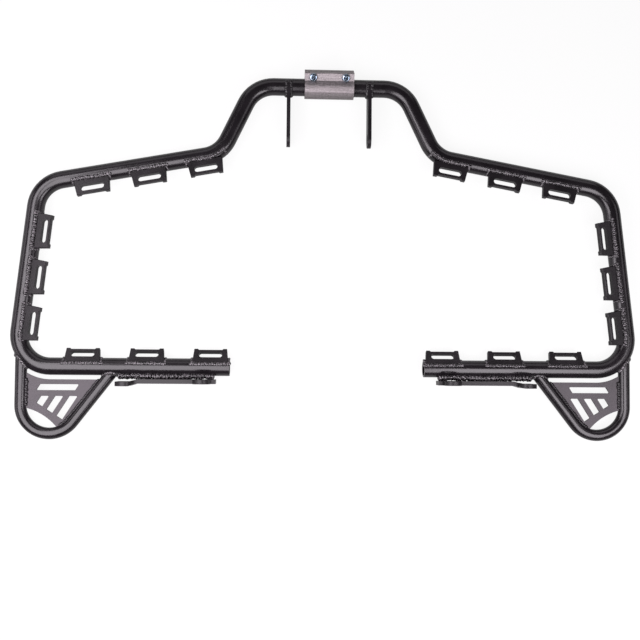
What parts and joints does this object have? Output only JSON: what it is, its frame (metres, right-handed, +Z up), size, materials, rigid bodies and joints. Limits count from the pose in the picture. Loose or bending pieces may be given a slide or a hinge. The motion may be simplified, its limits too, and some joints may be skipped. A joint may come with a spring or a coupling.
{
  "type": "quad bike side step bar set",
  "caption": "Mirrored pair of bent tubular side step bars with slotted webbing tabs, mount tabs, gusseted heel loops and a split centre clamp.",
  "frame": {"origin": "on the floor below the middle of the set's outline, as it lies flat", "axes": "+X to the right, +Y to the front where the clamp is, +Z up, away from the floor"},
  "size_m": [0.6902, 0.4112, 0.041],
  "materials": {
    "powder_coat": "satin black powder coat",
    "coated_plate": "satin black powder coat on flat plate",
    "coated_weld": "powder coat over weld bead",
    "bare_aluminium": "mill finish extrusion",
    "zinc_plate": "bright zinc plate"
  },
  "bodies": {
    "root": {"bracket_weld_left": "coated_weld", "bracket_weld_right": "coated_weld", "centre_clamp": "bare_aluminium", "clamp_screws": "zinc_plate", "front_mount_tab_left": "powder_coat", "front_mount_tab_right": "powder_coat", "front_tab_weld_left": "coated_weld", "front_tab_weld_right": "coated_weld", "gusset_plate_left": "coated_plate", "gusset_plate_right": "coated_plate", "gusset_welds_left": "coated_weld", "gusset_welds_right": "coated_weld", "loop_tube_left": "powder_coat", "loop_tube_right": "powder_coat", "loop_welds_left": "coated_weld", "loop_welds_right": "coated_weld", "lower_bracket_left": "powder_coat", "lower_bracket_right": "powder_coat", "main_tube_left": "powder_coat", "main_tube_right": "powder_coat", "tab_welds_bottom_left": "coated_weld", "tab_welds_bottom_right": "coated_weld", "tab_welds_side_left": "coated_weld", "tab_welds_side_right": "coated_weld", "tab_welds_top_left": "coated_weld", "tab_welds_top_right": "coated_weld", "webbing_tab_bottom_1_left": "powder_coat", "webbing_tab_bottom_1_right": "powder_coat", "webbing_tab_bottom_2_left": "powder_coat", "webbing_tab_bottom_2_right": "powder_coat", "webbing_tab_bottom_3_left": "powder_coat", "webbing_tab_bottom_3_right": "powder_coat", "webbing_tab_side_1_left": "powder_coat", "webbing_tab_side_1_right": "powder_coat", "webbing_tab_side_2_left": "powder_coat", "webbing_tab_side_2_right": "powder_coat", "webbing_tab_side_3_left": "powder_coat", "webbing_tab_side_3_right": "powder_coat", "webbing_tab_top_1_left": "powder_coat", "webbing_tab_top_1_right": "powder_coat", "webbing_tab_top_2_left": "powder_coat", "webbing_tab_top_2_right": "powder_coat", "webbing_tab_top_3_left": "powder_coat", "webbing_tab_top_3_right": "powder_coat"}
  },
  "joints": []
}
